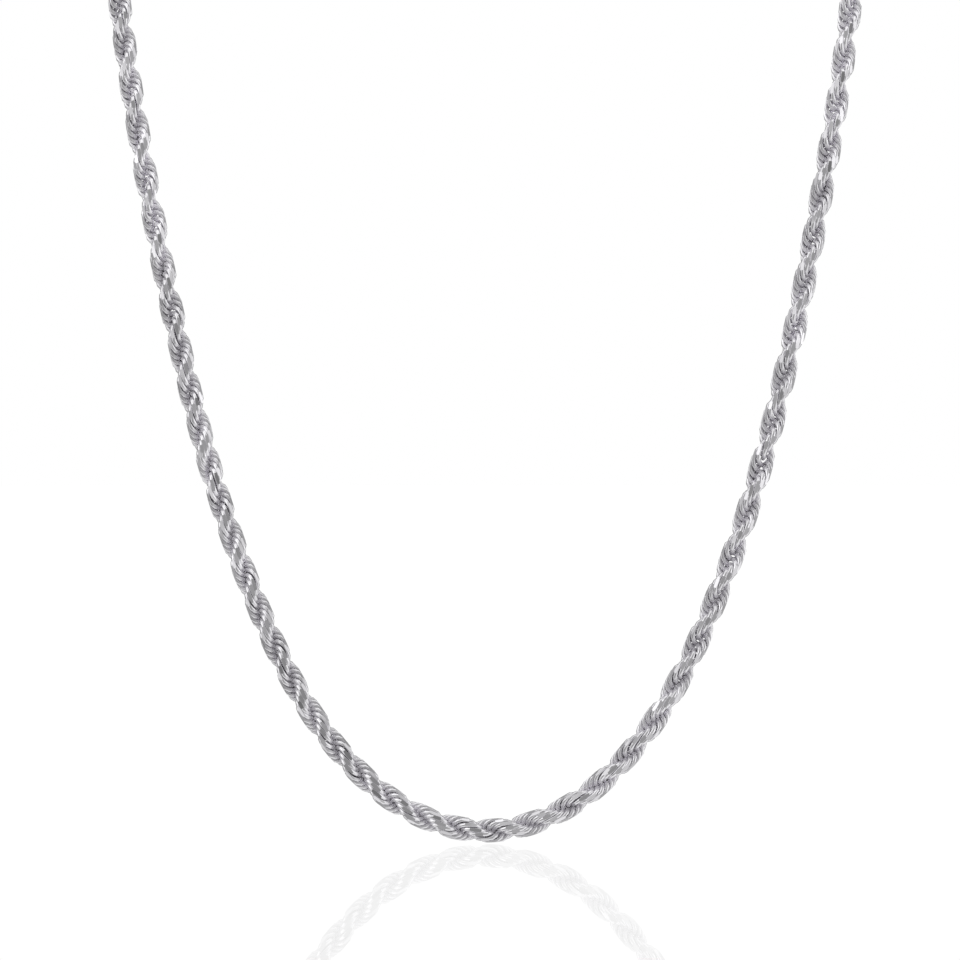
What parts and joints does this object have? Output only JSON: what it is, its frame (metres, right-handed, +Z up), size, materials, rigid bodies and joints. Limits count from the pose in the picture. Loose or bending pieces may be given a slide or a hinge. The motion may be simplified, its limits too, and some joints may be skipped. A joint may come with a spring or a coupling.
{
  "type": "rope chain necklace",
  "caption": "Closed necklace loop of twisted double-strand rope chain with domed end caps, two jump rings and a plain claw clasp at the back of the neck.",
  "frame": {"origin": "middle of the clasp, which lies on the back of the wearer's neck", "axes": "+Z up, -Y to the wearer's front, where the chain hangs, and +X to the right as seen from the front"},
  "size_m": [0.1178, 0.0887, 0.1549],
  "materials": {
    "rope_silver": "polished silver wire with diamond-cut outer faces",
    "fitting_silver": "polished cast and drawn silver"
  },
  "bodies": {
    "root": {"chain_left": "rope_silver", "chain_right": "rope_silver", "end_cap_left": "fitting_silver", "end_cap_right": "fitting_silver", "jump_ring_left": "fitting_silver", "jump_ring_right": "fitting_silver", "clasp": "fitting_silver"}
  },
  "joints": []
}
